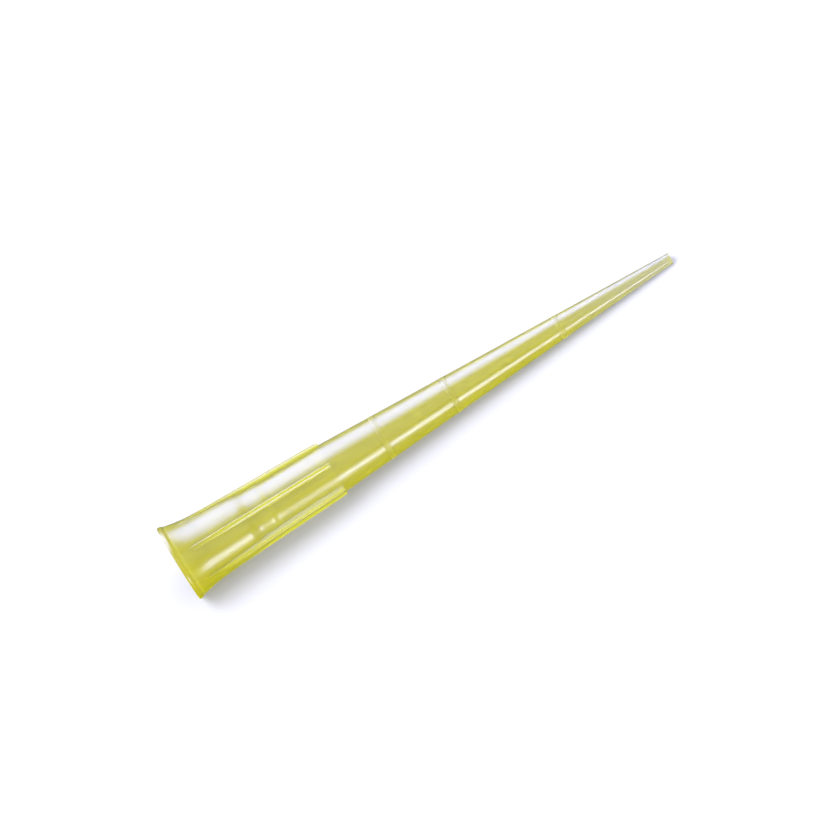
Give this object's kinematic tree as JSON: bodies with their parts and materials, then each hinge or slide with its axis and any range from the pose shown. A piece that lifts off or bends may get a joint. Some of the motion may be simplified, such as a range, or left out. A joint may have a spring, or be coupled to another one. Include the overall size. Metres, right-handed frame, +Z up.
{
  "type": "pipette tip",
  "caption": "Slender conical pipette tip with flared mouth, finned collar, square shoulder, low ring fill marks and a fine open end, lying on its side.",
  "frame": {"origin": "on the table, at the middle of the footprint of the tip as it lies on its rim and its open end", "axes": "+X along the tip from the mouth to the open end, +Z up, the tip's own axis dipping 3.59 degrees towards the open end"},
  "size_m": [0.0502, 0.0072, 0.0072],
  "materials": {
    "tip_plastic": "translucent yellow polypropylene, injection moulded, smooth with a soft shine"
  },
  "bodies": {
    "root": {"pipette_tip": "tip_plastic"}
  },
  "joints": []
}
